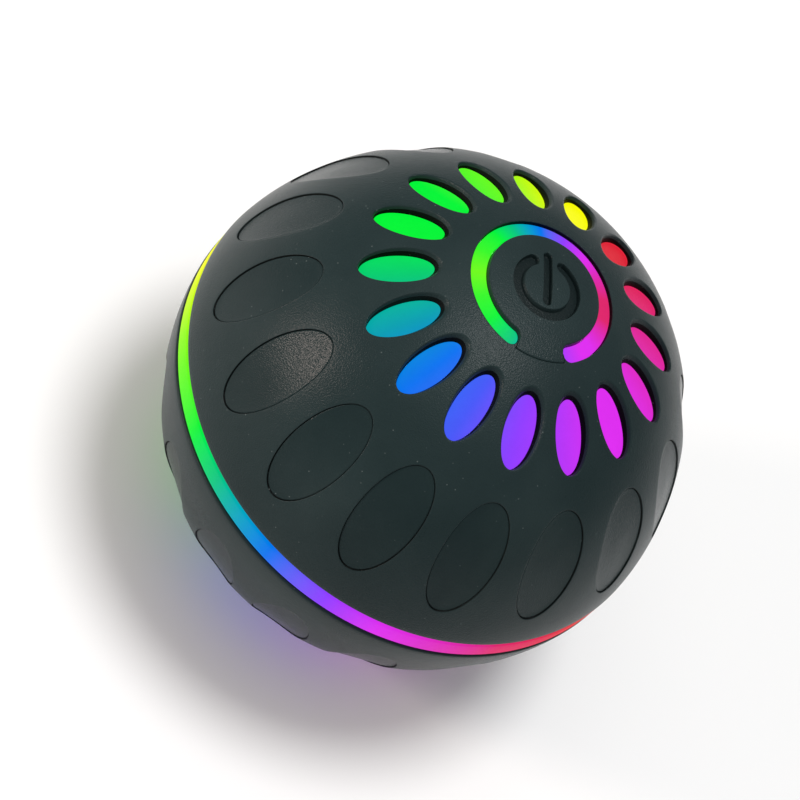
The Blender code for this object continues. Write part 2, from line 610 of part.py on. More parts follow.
disc_board("main_board", 21.5, MAIN_BOARD_Z, MAIN_BOARD_Z + 1.0, [(x, y, 1.2) for x, y in MAIN_POSTS], cut_x=-0.2)
for i, (x, y) in enumerate(MAIN_POSTS):
    screw(f"main_board_screw_{i + 1}", x, y, MAIN_BOARD_Z + 1.2, False, 5.4, r=0.65, head_r=1.5, head_h=0.9)
bm = bmesh.new()
slab(bm, -12.0, -7.0, -6.0, -1.0, MAIN_BOARD_Z + 1.2, MAIN_BOARD_Z + 2.2)
from_bm("controller_chip", bm, CHIP)
bm = bmesh.new()
rod(bm, 2.3, -4.5, 4.5, n=12, frame=Matrix.Translation(Vector((-11.0, 10.0, MAIN_BOARD_Z + 3.6)) * MM)
    @ Matrix.Rotation(math.radians(90), 4, "Y"))
from_bm("shock_sensor", bm, STEEL)
bm = bmesh.new()
slab(bm, -15.5, -9.5, -13.5, -9.5, MAIN_BOARD_Z + 1.2, MAIN_BOARD_Z + 4.6)
from_bm("battery_connector", bm, LED)

disc_board("charge_board", 12.4, CHARGE_BOARD_Z, CHARGE_BOARD_Z + 1.0, [(x, y, 1.2) for x, y in CHARGE_SCREWS])
for i, (x, y) in enumerate(CHARGE_SCREWS):
    screw(f"charge_board_screw_{i + 1}", x, y, CHARGE_BOARD_Z + 1.15, False, 5.0, r=0.65, head_r=1.4, head_h=0.75)
for i, x in enumerate((10.5, -10.5)):
    bm = bmesh.new()
    slab(bm, x - 1.5, x + 1.5, -1.75, 1.75, CHARGE_BOARD_Z - 1.8, CHARGE_BOARD_Z - 0.2)
    from_bm(f"lower_led_{i + 1}", bm, LED)
SOCKET_MOUTH = -25.6
bm = bmesh.new()
slab(bm, -4.47, 4.47, -1.63, 1.63, SOCKET_MOUTH, CHARGE_BOARD_Z - 0.2)
bmesh.ops.bevel(bm, geom=[e for e in bm.edges if abs(e.verts[0].co.x - e.verts[1].co.x) < 1e-6
                          and abs(e.verts[0].co.y - e.verts[1].co.y) < 1e-6],
                offset=0.0012, segments=2, profile=0.5, affect="EDGES")
socket = from_bm("charge_socket", bm, STEEL)
bm = bmesh.new()
slab(bm, -4.17, 4.17, -1.33, 1.33, SOCKET_MOUTH - 1.0, CHARGE_BOARD_Z - 1.4)
bmesh.ops.bevel(bm, geom=[e for e in bm.edges if abs(e.verts[0].co.x - e.verts[1].co.x) < 1e-6
                          and abs(e.verts[0].co.y - e.verts[1].co.y) < 1e-6],
                offset=0.001, segments=2, profile=0.5, affect="EDGES")
boolean(socket, from_bm("socket_cavity", bm, None, cutters), "DIFFERENCE")
bm = bmesh.new()
slab(bm, -3.3, 3.3, -0.35, 0.35, SOCKET_MOUTH + 0.8, CHARGE_BOARD_Z - 1.6)
from_bm("socket_tongue", bm, CHIP)

# ---------------------------------------------------------------- wires
wire("battery_lead_red", [(-7.0, -13.25, 7.0), (-7.0, -14.6, 7.6), (-7.0, -15.4, 9.6), (-7.0, -15.6, 11.75)], 0.55, RED)
wire("battery_lead_black", [(-10.0, -13.25, 7.0), (-10.0, -14.6, 7.6), (-10.0, -15.4, 9.6), (-10.0, -15.6, 11.75)], 0.55, BLACK)
wire("motor_lead_red", [(4.3, -10.4, 16.35), (3.6, -10.2, 18.2), (-0.8, -9.4, 18.0), (-3.4, -8.8, 15.4), (-3.8, -8.6, 13.25)], 0.5, RED)
wire("motor_lead_black", [(8.7, -10.4, 16.35), (7.6, -8.8, 18.2), (1.0, -6.6, 18.2), (-3.6, -5.8, 15.6), (-4.0, -5.6, 13.25)], 0.5, BLACK)
wire("led_cable", [(-6.0, 4.5, 13.3), (-6.0, 4.5, 14.6), (-7.4, 4.8, 16.8), (-6.8, 4.7, 19.2), (-6.8, 4.7, 20.35)], 0.9, CHIP)
AZ = math.radians(165)
route = [(12.75, -18.6), (15.6, -20.1), (18.9, -18.6), (21.9, -14.9), (24.3, -10.4), (25.5, -6.0), (25.5, 0.0), (24.9, 5.0), (24.2, 9.0), (23.2, 12.6),
         (21.4, 15.2), (19.2, 15.2), (18.4, 13.35)]
wire("charge_cable", [(r * math.cos(AZ), r * math.sin(AZ), z) for r, z in route], 0.6, CHIP, per_span=2)

for obj in parts.objects:
    if obj.type == "MESH" and obj.name in ("upper_cover", "lower_cover", "upper_shell", "lower_shell", "light_ring", "port_cap"):
        obj.data.shade_smooth()
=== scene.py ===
import json
import math

import bmesh
import bpy
import numpy as np
from mathutils import Matrix, Vector


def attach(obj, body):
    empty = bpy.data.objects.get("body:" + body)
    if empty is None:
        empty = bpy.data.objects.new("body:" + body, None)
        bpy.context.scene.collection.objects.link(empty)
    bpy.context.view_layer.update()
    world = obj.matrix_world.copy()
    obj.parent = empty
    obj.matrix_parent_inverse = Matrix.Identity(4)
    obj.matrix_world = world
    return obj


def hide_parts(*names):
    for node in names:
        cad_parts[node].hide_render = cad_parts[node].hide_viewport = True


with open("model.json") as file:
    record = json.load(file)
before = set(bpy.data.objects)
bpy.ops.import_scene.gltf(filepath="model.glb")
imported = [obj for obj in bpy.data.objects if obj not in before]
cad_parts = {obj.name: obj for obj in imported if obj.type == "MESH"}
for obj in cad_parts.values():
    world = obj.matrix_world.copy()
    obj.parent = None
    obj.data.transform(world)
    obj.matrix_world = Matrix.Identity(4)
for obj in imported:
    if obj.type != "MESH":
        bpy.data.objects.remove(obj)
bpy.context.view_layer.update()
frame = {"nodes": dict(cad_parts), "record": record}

scene = bpy.context.scene
scene.view_settings.view_transform = "Standard"
scene.view_settings.look = "None"

# ------------------------------------------------------------------ sizes, in millimetres
MM = 0.001
R = 32.1                     # the covers, away from the equator
R_IN = 30.0                  # inside of the covers
SECTORS, STEP = 16, 22.5
WIN_C, WIN_A, WIN_B, LEAN = 31.85, 4.66, 2.06, 30.0   # a window's throat; its middle moves away from the pole as it goes deeper
WIN_DEPTH = 1.2              # how far the middle of a lit, flat face lies below the skin
DISH_C, DISH_A, DISH_B = 63.0, 8.2, 3.8
DISH_HOLLOW = 0.20           # how much deeper a recess is in its middle than at its edge
ARC_MID, ARC_HALF, ARC_TOP, ARC_END = 8.34, 0.93, 31.60, 21.0
ARC_CLEAR = 0.12             # slot round the glowing arc
TAB = 9.33                   # outer edge of the button's tab
PORT_HOLE = 9.62             # round hole for the port cap
C1, C2, C3 = 20.4, 45.2, 80.4    # where the rows of cells begin and end, in degrees from the pole
AZ_STEPS = 24
LIP_Z = 1.62


def skin(colat):
    """Outer radius of a cover: it swells towards the equator."""
    return R + 0.4 * np.exp(-(((90.0 - colat) / 13.0) ** 2))


def on_ball(xy, c0, a0, height=0.0, radius=None):
    """Points near a cell's middle, in mm along and across its meridian, on the ball."""
    x, y = xy[..., 0], xy[..., 1]
    c = math.radians(c0) + x / R
    a = math.radians(a0) + y / (R * np.sin(c))
    r = (skin(np.degrees(c)) if radius is None else radius) + height
    return np.stack([r * np.sin(c) * np.cos(a), r * np.sin(c) * np.sin(a), r * np.cos(c)], -1)


def direction(colat, az):
    c, a = math.radians(colat), math.radians(az)
    return np.array([math.sin(c) * math.cos(a), math.sin(c) * math.sin(a), math.cos(c)])


def slide(points, along, radius):
    """Points moved back along a direction until they are at this distance from the centre."""
    b = points @ along
    s = b - np.sqrt(b * b - ((points ** 2).sum(-1) - radius ** 2))
    return points - along * s[..., None]


class Net:
    """Rows of points, in mm, joined into a mesh."""

    def __init__(self):
        self.points, self.faces, self.count, self.kinds = [], [], 0, []

    def rows(self, grid, closed=True, kind=0):
        grid = np.asarray(grid, float)
        n, m = grid.shape[:2]
        ids = np.arange(n * m).reshape(n, m) + self.count
        if closed:
            ids = np.concatenate([ids, ids[:, :1]], 1)
        self.faces += np.stack([ids[:-1, :-1], ids[1:, :-1], ids[1:, 1:], ids[:-1, 1:]], -1).reshape(-1, 4).tolist()
        self.kinds += [kind] * (len(self.faces) - len(self.kinds))
        self.points.append(grid.reshape(-1, 3))
        self.count += n * m

    def fan(self, ring, middle, kind=0):
        ring = np.asarray(ring, float)
        m = len(ring)
        self.points += [ring, np.asarray(middle, float).reshape(1, 3)]
        c = self.count + m
        self.faces += [[self.count + i, self.count + (i + 1) % m, c] for i in range(m)]
        self.kinds += [kind] * m
        self.count += m + 1

    def build(self, name, materials, body, sharp=None, mirror=False, weld=2e-6):
        co = np.concatenate(self.points) * MM
        if mirror:
            co = co * np.array([1.0, -1.0, -1.0])
        mesh = bpy.data.meshes.new(name)
        mesh.from_pydata(co.tolist(), [], self.faces)
        for material in materials:
            mesh.materials.append(material)
        mesh.polygons.foreach_set("material_index", self.kinds)
        bm = bmesh.new()
        bm.from_mesh(mesh)
        bmesh.ops.remove_doubles(bm, verts=bm.verts, dist=weld)
        bmesh.ops.dissolve_degenerate(bm, edges=bm.edges, dist=1e-7)
        bmesh.ops.recalc_face_normals(bm, faces=bm.faces)
        if bm.calc_volume(signed=True) < 0:
            bmesh.ops.reverse_faces(bm, faces=bm.faces)
        bm.to_mesh(mesh)
        bm.free()
        mesh.shade_smooth()
        if sharp:
            mesh.set_sharp_from_angle(angle=math.radians(sharp))
        obj = bpy.data.objects.new(name, mesh)
        scene.collection.objects.link(obj)
        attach(obj, body)
        return obj


# ------------------------------------------------------------------ materials
def srgb(*rgb):
    return tuple((v / 255 / 12.92) if v / 255 <= 0.04045 else ((v / 255 + 0.055) / 1.055) ** 2.4 for v in rgb)


class Look:
    """A Principled material whose colour, roughness and relief come from nodes."""

    def __init__(self, name, metallic=0.0, specular=0.5, sheen=0.0, sheen_roughness=0.5, coat=0.0, coat_roughness=0.2):
        self.mat = bpy.data.materials.new(name)
        self.mat.use_nodes = True
        self.nt = self.mat.node_tree
        self.shader = self.nt.nodes["Principled BSDF"]
        for key, value in (("Metallic", metallic), ("Specular IOR Level", specular), ("Sheen Weight", sheen),
                           ("Sheen Roughness", sheen_roughness), ("Coat Weight", coat), ("Coat Roughness", coat_roughness)):
            self.shader.inputs[key].default_value = value
        self.coord = self.nt.nodes.new("ShaderNodeTexCoord").outputs["Object"]

    def link(self, out, node, key):
        self.nt.links.new(out, node.inputs[key])

    def noise(self, scale, detail=2.0, rough=0.5, stretch=None, distortion=0.0):
        node = self.nt.nodes.new("ShaderNodeTexNoise")
        node.inputs["Scale"].default_value = scale
        node.inputs["Detail"].default_value = detail
        node.inputs["Roughness"].default_value = rough
        node.inputs["Distortion"].default_value = distortion
        source = self.coord
        if stretch:
            m = self.nt.nodes.new("ShaderNodeMapping")
            m.inputs["Scale"].default_value = stretch
            self.link(source, m, "Vector")
            source = m.outputs["Vector"]
        self.link(source, node, "Vector")
        return node.outputs["Fac"]

    def cells(self, scale, feature="F1"):
        node = self.nt.nodes.new("ShaderNodeTexVoronoi")
        node.feature = feature
        node.inputs["Scale"].default_value = scale
        self.link(self.coord, node, "Vector")
        return node.outputs["Distance"]

    def remap(self, out, lo, hi, to_lo, to_hi, smooth=False):
        node = self.nt.nodes.new("ShaderNodeMapRange")
        node.interpolation_type = "SMOOTHSTEP" if smooth else "LINEAR"
        for key, value in (("From Min", lo), ("From Max", hi), ("To Min", to_lo), ("To Max", to_hi)):
            node.inputs[key].default_value = value
        self.link(out, node, "Value")
        return node.outputs["Result"]

    def math(self, op, a, b=None):
        node = self.nt.nodes.new("ShaderNodeMath")
        node.operation = op
        for i, v in enumerate((a, b)):
            if v is None:
                continue
            if isinstance(v, (int, float)):
                node.inputs[i].default_value = v
            else:
                self.nt.links.new(v, node.inputs[i])
        return node.outputs["Value"]

    def mix(self, fac, a, b, blend="MIX"):
        node = self.nt.nodes.new("ShaderNodeMix")
        node.data_type = "RGBA"
        node.blend_type = blend
        self.nt.links.new(fac, node.inputs["Factor"])
        for key, v in (("A", a), ("B", b)):
            sock = next(s for s in node.inputs if s.name == key and s.type == "RGBA")
            if isinstance(v, tuple):
                sock.default_value = (*v, 1.0)
            else:
                self.nt.links.new(v, sock)
        return next(s for s in node.outputs if s.type == "RGBA")

    def ramp(self, fac, stops, smooth=False):
        node = self.nt.nodes.new("ShaderNodeValToRGB")
        node.color_ramp.interpolation = "B_SPLINE" if smooth else "LINEAR"
        el = node.color_ramp.elements
        while len(el) > 1:
            el.remove(el[-1])
        el[0].position, el[0].color = stops[0][0], (*stops[0][1], 1.0)
        for p, c in stops[1:]:
            e = el.new(p)
            e.color = (*c, 1.0)
        self.nt.links.new(fac, node.inputs["Fac"])
        return node.outputs["Color"]

    def colour(self, out):
        self.link(out, self.shader, "Base Color")
        return self

    def roughness(self, out):
        if isinstance(out, float):
            self.shader.inputs["Roughness"].default_value = out
        else:
            self.link(out, self.shader, "Roughness")
        return self

    def bump(self, layers):
        """layers: (height output, strength, distance in mm)"""
        last = None
        for out, strength, depth in layers:
            node = self.nt.nodes.new("ShaderNodeBump")
            node.inputs["Strength"].default_value = strength
            node.inputs["Distance"].default_value = depth * MM
            self.link(out, node, "Height")
            if last:
                self.nt.links.new(last, node.inputs["Normal"])
            last = node.outputs["Normal"]
        self.link(last, self.shader, "Normal")
        return self

    def azimuth(self):
        """0 to 1 once round the pole axis, from -X through -Y, +X and +Y."""
        sep = self.nt.nodes.new("ShaderNodeSeparateXYZ")
        self.link(self.coord, sep, "Vector")
        return self.remap(self.math("ARCTAN2", sep.outputs["Y"], sep.outputs["X"]), -math.pi, math.pi, 0.0, 1.0)


def silicone(name, lo, hi, rough, grain_depth, specular, cut=False):
    """Moulded silicone. rough is the range of its roughness, grain_depth the relief of its fine texture in mm.
    With cut it darkens towards near black by the mesh's own value of that name, which says how deep a sign is cut:
    painted shade in the engraved grooves."""
    s = Look(name, specular=specular)
    broad = s.noise(70.0, 3.0, 0.55)
    base = s.mix(s.remap(broad, 0.3, 0.7, 0.0, 1.0), lo, hi)
    dust = s.math("MULTIPLY", s.remap(s.cells(900.0), 0.05, 0.09, 1.0, 0.0), s.remap(s.noise(150.0, 2.0), 0.44, 0.56, 0.0, 1.0))
    base = s.mix(s.math("MULTIPLY", dust, 0.34), base, srgb(130, 140, 138))
    haze = s.remap(s.noise(45.0, 4.0, 0.6, distortion=0.4), 0.50, 0.72, 0.0, 0.22, smooth=True)
    base = s.mix(haze, base, srgb(50, 62, 61))
    # painted shade: the sign's grooves are mixed towards near black the deeper they are cut
    if cut:
        depth = s.nt.nodes.new("ShaderNodeAttribute")
        depth.attribute_name = "cut"
        base = s.mix(depth.outputs["Fac"], base, srgb(6, 9, 9))
    s.colour(base)
    grain = s.math("ADD", s.math("MULTIPLY", s.noise(4800.0, 2.0, 0.6), 0.6), s.math("MULTIPLY", s.cells(5400.0), 0.5))
    s.roughness(s.remap(s.math("ADD", s.math("MULTIPLY", grain, 0.6), s.math("MULTIPLY", broad, 0.4)), 0.35, 0.65, rough[0], rough[1]))
    s.bump([(s.noise(900.0, 3.0, 0.6), 0.05, 0.05), (grain, 1.0, grain_depth)])
    return s.mat


HUES = {"red": (220, 34, 54), "crimson": (222, 38, 108), "magenta": (222, 46, 240), "violet": (144, 62, 255), "blue": (0, 114, 240),
        "teal": (0, 196, 130), "green": (0, 244, 56), "lime": (112, 250, 28), "yellow": (248, 250, 0), "orange": (240, 130, 8)}


def rainbow(anchors):
    """Stops of a ramp that runs once round the pole axis. anchors: (azimuth, hue name), rising to a full turn."""
    az = np.array([a for a, _ in anchors], float)
    rgb = np.array([HUES[h] for _, h in anchors], float)
    if az[-1] != az[0] + 360.0:
        raise ValueError("the last anchor closes the turn")
    places = {-180.0, 180.0}
    for lo, hi in zip(az[:-1], az[1:]):
        parts = max(1, round((hi - lo) / 22.0))
        places |= {round((lo + (hi - lo) * k / parts + 180.0) % 360.0 - 180.0, 3) for k in range(parts)}
    if len(places) > 32:
        raise ValueError("a ramp holds 32 stops")
    stops = []
    for a in sorted(places):
        turn = az[0] + (a - az[0]) % 360.0
        stops.append(((a + 180.0) / 360.0, srgb(*(float(np.interp(turn, az, rgb[:, i])) for i in range(3)))))
    return stops


def glow(name, anchors, strength=1.0):
    """Frosted plastic lit from behind: its hue runs round the pole axis."""
    s = Look(name, specular=0.06)
    hue = s.ramp(s.azimuth(), rainbow(anchors))
    mottle = s.remap(s.noise(500.0, 2.0), 0.3, 0.7, 0.97, 1.0)
    s.link(s.mix(mottle, (0.0, 0.0, 0.0), hue), s.shader, "Emission Color")
    s.shader.inputs["Emission Strength"].default_value = strength
    s.colour(s.mix(s.remap(s.noise(2500.0, 1.0), 0.3, 0.7, 0.01, 0.03), (0.0, 0.0, 0.0), hue))
    s.roughness(s.remap(s.noise(3000.0, 1.0), 0.3, 0.7, 0.5, 0.6))
    return s.mat


def plastic(name, rgb, variation=0.06, rough=0.42, grain=1800.0, relief=0.02, specular=0.5):
    s = Look(name, specular=specular)
    lo, hi = tuple(v * (1 - variation) for v in rgb), tuple(min(1.0, v * (1 + variation)) for v in rgb)
    s.colour(s.mix(s.noise(140.0, 4.0, 0.6), lo, hi))
    s.roughness(s.remap(s.noise(grain * 0.5, 3.0), 0.3, 0.7, rough - 0.06, rough + 0.08))
    s.bump([(s.noise(grain, 3.0, 0.6), 0.25, relief)])
    return s.mat


def metal(name, rgb, rough=0.28, stretch=(1.0, 1.0, 30.0), cast=False):
    s = Look(name, metallic=1.0)
    brushed = s.noise(900.0 if cast else 500.0, 4.0, 0.65, stretch=None if cast else stretch)
    s.colour(s.mix(s.remap(s.noise(120.0, 4.0, 0.6), 0.35, 0.7, 0.0, 1.0), tuple(v * 0.8 for v in rgb), rgb))
    s.roughness(s.remap(brushed, 0.3, 0.7, rough - 0.08, rough + 0.14))
    s.bump([(brushed, 0.3 if cast else 0.15, 0.03 if cast else 0.006)])
    return s.mat


def board_look():
    s = Look("circuit_board", specular=0.5, coat=0.3, coat_roughness=0.15)
    tracks = s.nt.nodes.new("ShaderNodeTexBrick")
    tracks.inputs["Scale"].default_value = 420.0
    tracks.inputs["Mortar Size"].default_value = 0.06
    tracks.inputs["Color1"].default_value = (*srgb(16, 92, 48), 1.0)
    tracks.inputs["Color2"].default_value = (*srgb(20, 104, 55), 1.0)
    tracks.inputs["Mortar"].default_value = (*srgb(36, 128, 72), 1.0)
    s.link(s.coord, tracks, "Vector")
    vias = s.remap(s.cells(330.0), 0.10, 0.14, 1.0, 0.0)
    s.colour(s.mix(vias, tracks.outputs["Color"], srgb(205, 170, 96)))
    s.roughness(s.remap(s.noise(900.0, 2.0), 0.3, 0.7, 0.25, 0.38))
    s.bump([(tracks.outputs["Fac"], 0.3, 0.03), (vias, 0.4, 0.03)])
    return s.mat


def cell_look():
    s = Look("battery_wrap", metallic=0.75)
    creases = s.noise(260.0, 5.0, 0.7, distortion=1.2)
    s.colour(s.mix(s.remap(s.noise(60.0, 3.0), 0.3, 0.7, 0.0, 1.0), srgb(168, 172, 178), srgb(200, 203, 208)))
    s.roughness(s.remap(creases, 0.3, 0.7, 0.25, 0.45))
    s.bump([(creases, 0.35, 0.08)])
    return s.mat


def foam_look():
    s = Look("foam_tape", specular=0.2)
    pores = s.cells(2600.0)
    s.colour(s.mix(s.remap(pores, 0.1, 0.6, 0.0, 1.0), srgb(22, 22, 22), srgb(58, 58, 56)))
    s.roughness(0.95)
    s.bump([(pores, 0.8, 0.1)])
    return s.mat


SILICONE = silicone("black_silicone", srgb(29, 42, 43), srgb(36, 49, 50), (0.26, 0.33), 0.044, 0.095)
SMOOTH = silicone("recess_silicone", srgb(26, 39, 40), srgb(32, 45, 46), (0.20, 0.26), 0.036, 0.095)      # floors of the recesses
PAINTED_SHADE_SILICONE = silicone("wall_silicone_painted_shade", srgb(4, 6, 6), srgb(7, 10, 10), (0.50, 0.60), 0.04, 0.06)          # painted shade: near-black silicone on the steep walls of the windows, slots and recesses
# the covers' two silicone finishes, and the near-black painted shade for their walls
COVER_FINISHES_AND_PAINTED_SHADE = (SILICONE, SMOOTH, PAINTED_SHADE_SILICONE)
# painted shade: this silicone darkens the power sign's grooves by their depth
ENGRAVED_WITH_PAINTED_SHADE = silicone("button_silicone_painted_groove_shade", srgb(30, 43, 44), srgb(38, 51, 52), (0.28, 0.35), 0.060, 0.095, cut=True)
WINDOW_GLOW = glow("window_glow", [(-90, "violet"), (-50, "magenta"), (-34, "magenta"), (22, "crimson"), (40, "red"), (54, "red"), (59, "yellow"), (72, "yellow"),
                                   (102, "lime"), (133, "green"), (163, "green"), (226, "blue"), (270, "violet")])
RING_GLOW = glow("ring_glow", [(-200, "yellow"), (-172, "lime"), (-157, "green"), (-145, "teal"), (-126, "blue"), (-111, "violet"), (-98, "magenta"),
                               (-70, "crimson"), (-52, "red"), (-10, "orange"), (60, "yellow"), (160, "yellow")])
ARC_GLOW = glow("arc_glow", [(-76, "violet"), (-50, "magenta"), (-38, "magenta"), (-8, "crimson"), (12, "crimson"), (50, "magenta"), (72, "violet"), (92, "blue"),
                             (118, "teal"), (136, "green"), (180, "lime"), (222, "green"), (246, "teal"), (266, "blue"), (284, "violet")])


# ------------------------------------------------------------------ covers
def border(c0, lo, hi, steps):
    """The edge of one cell, in mm about its middle, once round. Neighbouring cells share its points."""
    half = STEP / 2
    side = lambda a, b, n: np.linspace(a, b, n + 1)[:-1]
    one = np.ones
    c = np.concatenate([lo * one(AZ_STEPS), side(lo, hi, steps), hi * one(AZ_STEPS), side(hi, lo, steps)])
    a = np.concatenate([side(-half, half, AZ_STEPS), half * one(steps), side(half, -half, AZ_STEPS), -half * one(steps)])
    return np.stack([R * np.radians(c - c0), R * np.sin(np.radians(c)) * np.radians(a)], -1)


def ellipse(a, b, t):
    return np.stack([a * np.cos(t), b * np.sin(t)], -1)


def slot_outline(az):
    """The upper cover's hole, one point for each column: round the glowing arc's ends and across the button's tab."""
    clear = ARC_HALF + ARC_CLEAR
    tip = ARC_END + math.degrees(ARC_HALF / ARC_MID)
    near = tip - math.degrees(clear / ARC_MID)
    reach = 44.0
    at = lambda r, off: (r * math.sin(math.radians(off)), -r * math.cos(math.radians(off)))
    path = [at(TAB + 0.04, v) for v in np.linspace(0, near, 30)]
    path += [at(r, near) for r in np.linspace(TAB + 0.04, ARC_MID, 8)[1:]]
    c, s = math.cos(math.radians(tip)), math.sin(math.radians(tip))
    for v in np.radians(np.linspace(0, 90, 24))[1:]:
        along, out = -clear * math.cos(v), clear * math.sin(v)
        path.append(((ARC_MID + out) * s + along * c, -((ARC_MID + out) * c - along * s)))
    path += [at(ARC_MID + clear, v) for v in np.linspace(tip, reach, 20)[1:]]
    path = np.array(path)
    length = np.concatenate([[0], np.cumsum(np.linalg.norm(np.diff(path, axis=0), axis=1))])
    points = []
    for a in az:
        off = (math.degrees(a) + 90.0 + 180.0) % 360.0 - 180.0
        if abs(off) >= reach:
            points.append(((ARC_MID + clear) * math.cos(a), (ARC_MID + clear) * math.sin(a)))
        else:
            s = length[-1] * abs(off) / reach
            x, y = np.interp(s, length, path[:, 0]), np.interp(s, length, path[:, 1])
            points.append((math.copysign(x, off), y))
    return np.array(points)


def throat(flare, height, t):
    """A window's outline at this height, in mm: it leans away from the pole as it goes deeper."""
    xy = ellipse(WIN_A + flare, WIN_B + flare, t)
    xy[:, 0] -= height * math.tan(math.radians(LEAN))
    return xy


def cover_piece(name, node, mirror):
    net = Net()
    flank = [(0.0, -0.95), (0.07, -0.72), (0.15, -0.48), (0.23, -0.27), (0.29, -0.135), (0.35, -0.05), (0.42, -0.012), (0.50, 0.0)]
    edge_w = border(WIN_C, C1, C2, 24)
    t_w = np.arctan2(edge_w[:, 1] / WIN_B, edge_w[:, 0] / WIN_A)
    edge_d = border(DISH_C, C2, C3, 32)
    t_d = np.arctan2(edge_d[:, 1] / DISH_B, edge_d[:, 0] / DISH_A)
    for k in range(SECTORS):
        a0 = -90.0 + STEP * k
        # a window: rounded rim, surface out to the cell's edge, leaning wall, inside surface. The rim's inner rows and
        # the leaning wall are near-black painted shade.
        rows, heights = [], []
        for d, h in flank:
            rows.append(throat(d, h, t_w))
            heights.append(h)
        last = rows[-1]
        for s in (0.12, 0.32, 0.55, 0.78, 1.0):
            rows.append(last * (1 - s) + edge_w * s)
            heights.append(0.0)
        top = on_ball(np.array(rows), WIN_C, a0, np.array(heights)[:, None])
        # painted shade: the rim's inner rows are near black
        net.rows(top[:3], kind=2)
        net.rows(top[2:])
        lean = direction(WIN_C - LEAN, a0)
        rim = top[0]
        foot = slide(rim, lean, R_IN)
        # painted shade: the leaning wall is near black
        net.rows(np.array([rim * (1 - s) + foot * s for s in (0, 0.15, 0.4, 0.7, 1.0)]), kind=2)
        inner_edge = on_ball(edge_w, WIN_C, a0, radius=R_IN)
        inside = np.array([foot * (1 - s) + inner_edge * s for s in (0, 0.5, 1.0)])
        inside *= R_IN / np.linalg.norm(inside, axis=-1, keepdims=True)
        net.rows(inside)
        # a shallow dish: a fine crease at the foot of a small step, painted near black as shade, then a hollow floor
        rows, heights = [], []
        for d, h in ((-0.40, -0.222), (-0.26, -0.196), (-0.15, -0.184), (-0.08, -0.190), (-0.05, -0.215), (-0.02, -0.225), (0.005, -0.180), (0.025, -0.095), (0.045, -0.035), (0.085, -0.008), (0.18, 0.0)):
            rows.append(ellipse(DISH_A + d, DISH_B + d, t_d))
            heights.append(h)
        last = rows[-1]
        for s in (0.3, 0.65, 1.0):
            rows.append(last * (1 - s) + edge_d * s)
            heights.append(0.0)
        edge = on_ball(np.array(rows), DISH_C, a0, np.array(heights)[:, None])
        net.rows(edge[:6], kind=1)
        # painted shade: the crease and the step's wall are near black
        net.rows(edge[5:9], kind=2)
        net.rows(edge[8:])
        rows, heights = [], []
        for s in (1.0, 0.93, 0.84, 0.72, 0.58, 0.44, 0.30, 0.16, 0.06):
            rows.append(ellipse((DISH_A - 0.4) * s, (DISH_B - 0.4) * s, t_d))
            heights.append(-0.222 - DISH_HOLLOW * (1 - s ** 2.6))
        dish = on_ball(np.array(rows), DISH_C, a0, np.array(heights)[:, None])
        net.rows(dish, kind=1)
        net.fan(dish[-1], on_ball(np.zeros(2), DISH_C, a0, -0.222 - DISH_HOLLOW), kind=1)
        back = np.array([on_ball(edge_d * s, DISH_C, a0, radius=R_IN) for s in (1.0, 0.7, 0.4, 0.12)])
        net.rows(back)
        net.fan(back[-1], on_ball(np.zeros(2), DISH_C, a0, radius=R_IN))
    az = np.radians(-90.0 - STEP / 2 + STEP / AZ_STEPS * np.arange(SECTORS * AZ_STEPS))

    def turned_rows(profile):
        p = np.array(profile)
        net.rows(np.stack([p[:, :1] * np.cos(az), p[:, :1] * np.sin(az), p[:, 1:] * np.ones_like(az)], -1))

    # the hole at the pole, with a rounded edge and a wall painted near black as shade, and the inside of the cover
    # round it
    f = 0.15
    hole = slot_outline(az) if not mirror else PORT_HOLE * np.stack([np.cos(az), np.sin(az)], -1)
    tangent = np.roll(hole, -1, 0) - np.roll(hole, 1, 0)
    normal = np.stack([tangent[:, 1], -tangent[:, 0]], -1)
    normal /= np.linalg.norm(normal, axis=1, keepdims=True)
    ring = math.radians(C1)
    outer = R * math.sin(ring) * np.stack([np.cos(az), np.sin(az)], -1)
    level = lambda xy, r: np.sqrt(r * r - (xy ** 2).sum(-1))
    if not mirror:    # no rounding where the cover runs out to a point between the arc and the tab
        near = math.radians(ARC_END - math.degrees(ARC_CLEAR / ARC_MID))
        for side in (-1, 1):
            point = ARC_MID * np.array([side * math.sin(near), -math.cos(near)])
            f = f * np.clip(np.linalg.norm(hole - point, axis=1) / 0.9, 0.06, 1.0)[:, None]
    rim = hole + normal * f
    rows = [(outer * (1 - s) + rim * s, R, 0.0) for s in (0, 0.3, 0.55, 0.78, 0.92, 1.0)]
    rows += [(hole + normal * f * (1 - math.sin(v)), R, -(f * np.ones((len(az), 1)))[:, 0] * (1 - math.cos(v))) for v in np.radians([20, 40, 60, 75, 90])]
    grid = [np.concatenate([xy, (level(xy, r) + h)[:, None]], 1) for xy, r, h in rows]
    top, low = grid[-1][:, 2], level(hole, R_IN)
    walls = [np.concatenate([hole, (top * (1 - s) + low * s)[:, None]], 1) for s in (0.3, 0.65, 1.0)]
    net.rows(np.array(grid))
    # painted shade: the hole's wall is near black
    net.rows(np.array(grid[-1:] + walls), kind=2)
    grid = walls[-1:]
    inner = R_IN * math.sin(ring) * np.stack([np.cos(az), np.sin(az)], -1)
    grid += [np.concatenate([xy, level(xy, R_IN)[:, None]], 1) for xy in (hole * 0.5 + inner * 0.5, inner)]
    net.rows(np.array(grid))
